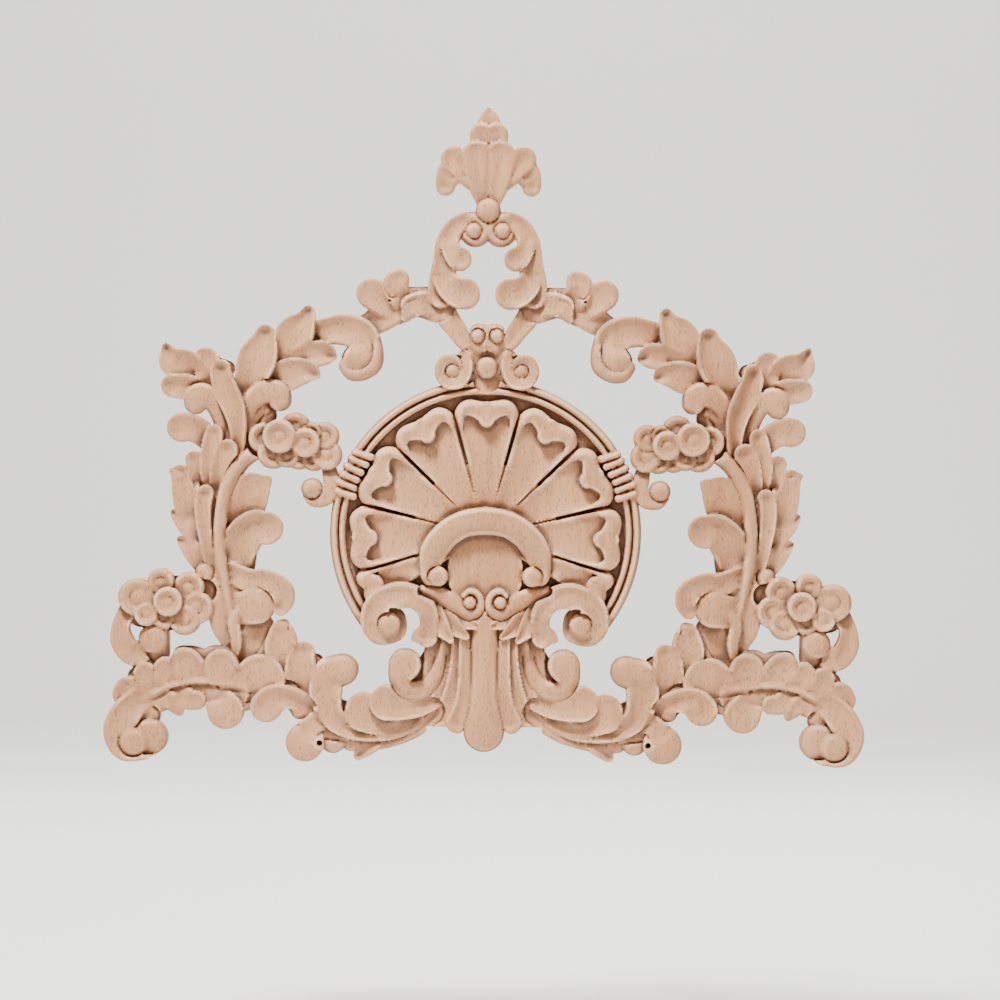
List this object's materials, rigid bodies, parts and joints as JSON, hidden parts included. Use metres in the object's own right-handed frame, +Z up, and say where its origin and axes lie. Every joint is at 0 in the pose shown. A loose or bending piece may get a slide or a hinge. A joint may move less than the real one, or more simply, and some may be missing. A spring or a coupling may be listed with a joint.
{
  "type": "carved wooden crest applique",
  "caption": "Pierced wooden crest applique with a shell in a ringed disc, leafy scrolls, berry clusters and a leaf finial, on a flat back",
  "frame": {"origin": "on the flat back face, behind the recess in the shell, on the middle line", "axes": "+X to the right seen from the front, +Z up, -Y out of the carved face, so +Y is the back face's outward normal"},
  "size_m": [0.4556, 0.0198, 0.3939],
  "materials": {
    "pale_wood": "raw pale hardwood, sanded, unfinished, satin-matt, fine dark pore streaks along an upright grain"
  },
  "bodies": {
    "root": {"carved_applique": "pale_wood"}
  },
  "joints": []
}
